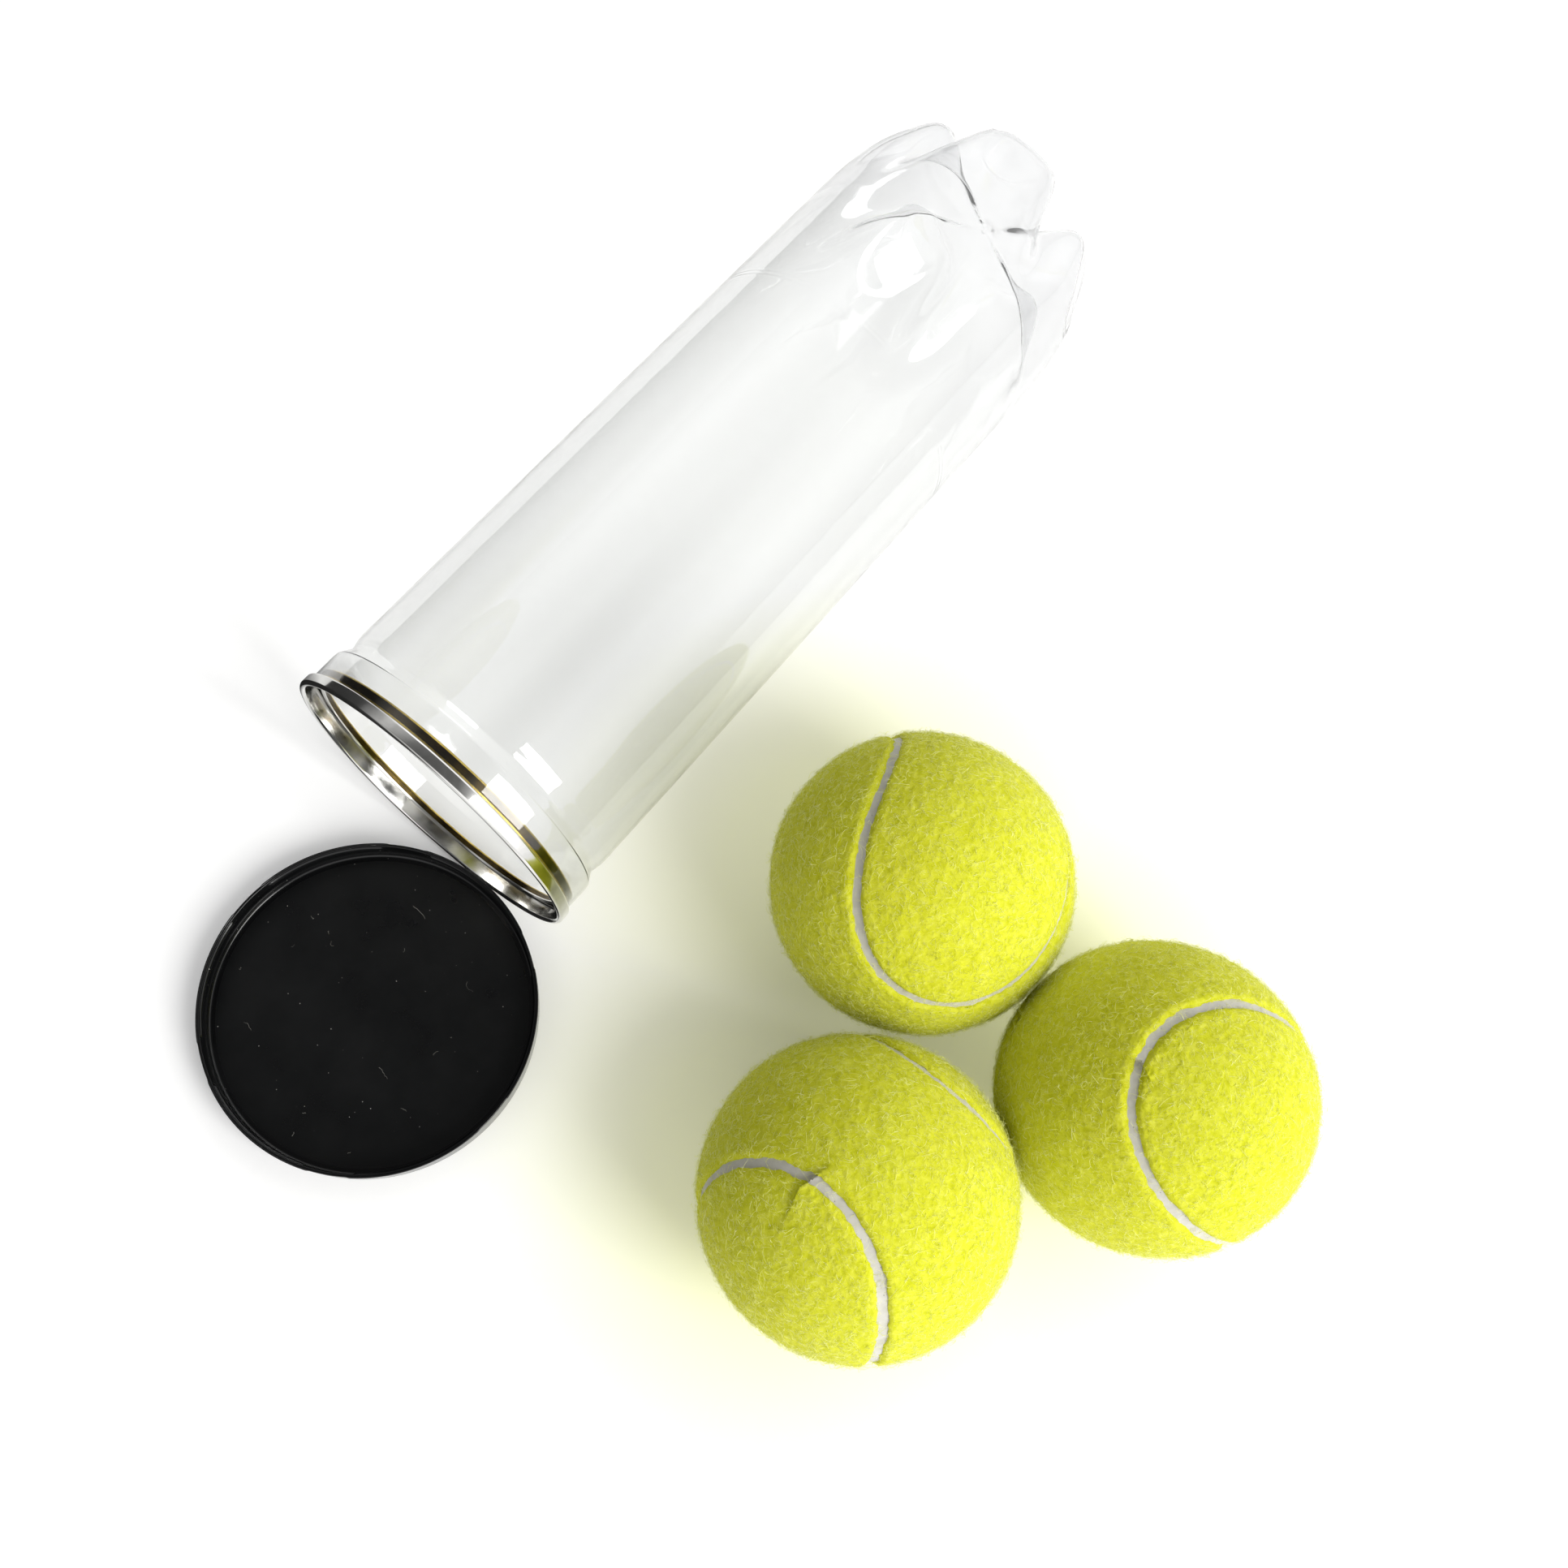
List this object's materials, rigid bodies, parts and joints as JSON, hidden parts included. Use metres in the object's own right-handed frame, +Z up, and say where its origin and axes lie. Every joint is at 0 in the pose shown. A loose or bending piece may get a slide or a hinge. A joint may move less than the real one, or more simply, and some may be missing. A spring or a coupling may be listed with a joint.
{
  "type": "tennis ball can",
  "caption": "Clear plastic tennis ball can lying on its side, with rolled metal rim and footed base, its black snap lid off beside the mouth, and loose felt-covered balls.",
  "frame": {"origin": "centre of the whole layout's footprint, on the surface that everything lies on", "axes": "+Z up; +X along the can from its mouth to its base; the balls lie on the -Y side"},
  "size_m": [0.2932, 0.2324, 0.0762],
  "materials": {
    "clear_plastic": "clear, glossy, blow moulded",
    "tinplate": "bright rolled sheet, gold lacquer on its inner side",
    "compound": "matt sealing compound",
    "lid_plastic": "black moulded plastic, satin floor and glossy rim",
    "core_rubber": "moulded rubber",
    "core_cement": "cured rubber cement",
    "felt": "optic yellow napped felt",
    "seam_cement": "white vulcanised seam cement"
  },
  "bodies": {
    "can": {"can_body": "clear_plastic", "end_ring": "tinplate", "sealing_compound": "compound"},
    "lid": {"lid": "lid_plastic"},
    "ball_1": {"ball_1_core_a": "core_rubber", "ball_1_core_b": "core_rubber", "ball_1_core_cement": "core_cement", "ball_1_felt_a": "felt", "ball_1_felt_b": "felt", "ball_1_seam": "seam_cement"},
    "ball_2": {"ball_2_core_a": "core_rubber", "ball_2_core_b": "core_rubber", "ball_2_core_cement": "core_cement", "ball_2_felt_a": "felt", "ball_2_felt_b": "felt", "ball_2_seam": "seam_cement"},
    "ball_3": {"ball_3_core_a": "core_rubber", "ball_3_core_b": "core_rubber", "ball_3_core_cement": "core_cement", "ball_3_felt_a": "felt", "ball_3_felt_b": "felt", "ball_3_seam": "seam_cement"}
  },
  "joints": [
    {"name": "lid_lift", "type": "slide", "parent": "can", "child": "lid", "axis": [0, 0, 1], "range_m": [0, 0.12]},
    {"name": "ball_1_lift", "type": "slide", "parent": "can", "child": "ball_1", "axis": [0, 0, 1], "range_m": [0, 0.15]},
    {"name": "ball_2_lift", "type": "slide", "parent": "can", "child": "ball_2", "axis": [0, 0, 1], "range_m": [0, 0.15]},
    {"name": "ball_3_lift", "type": "slide", "parent": "can", "child": "ball_3", "axis": [0, 0, 1], "range_m": [0, 0.15]}
  ]
}
